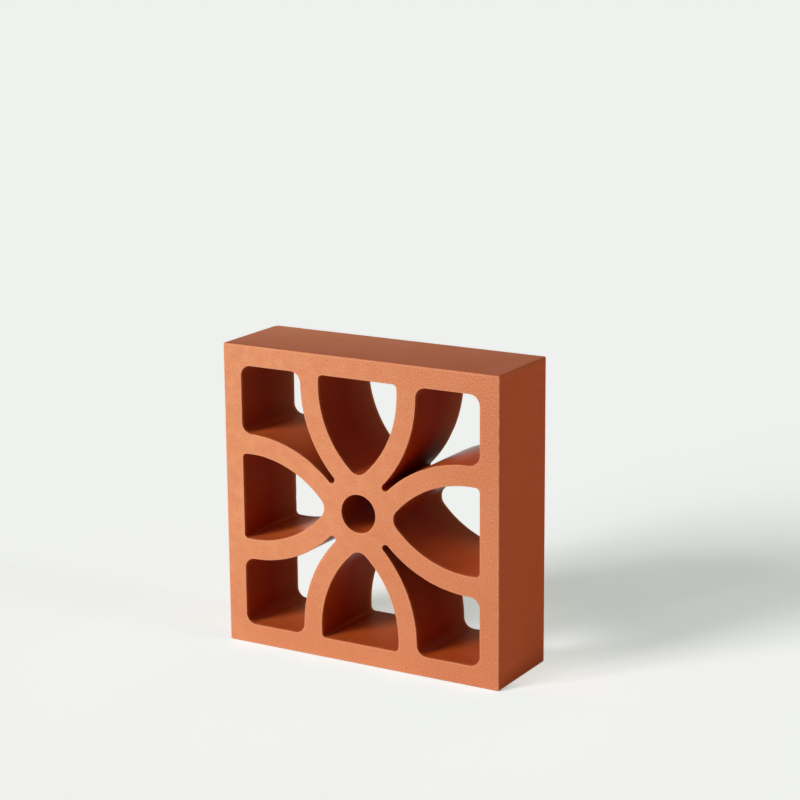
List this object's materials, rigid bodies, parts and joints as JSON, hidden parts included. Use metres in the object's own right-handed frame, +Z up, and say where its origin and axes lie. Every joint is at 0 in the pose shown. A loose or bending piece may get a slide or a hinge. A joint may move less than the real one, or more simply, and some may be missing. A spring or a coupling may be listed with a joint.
{
  "type": "breeze block",
  "caption": "Square screen block of fired clay, pierced right through by petal and corner openings round a hub with a round hole, laid to make open walls.",
  "frame": {"origin": "middle of the bed face, at the bottom centre of the block", "axes": "+X along the wall, +Y through the wall from the face to the back, +Z up"},
  "size_m": [0.29, 0.09, 0.29],
  "materials": {
    "terracotta": "matte"
  },
  "bodies": {
    "root": {"breeze_block": "terracotta"}
  },
  "joints": []
}
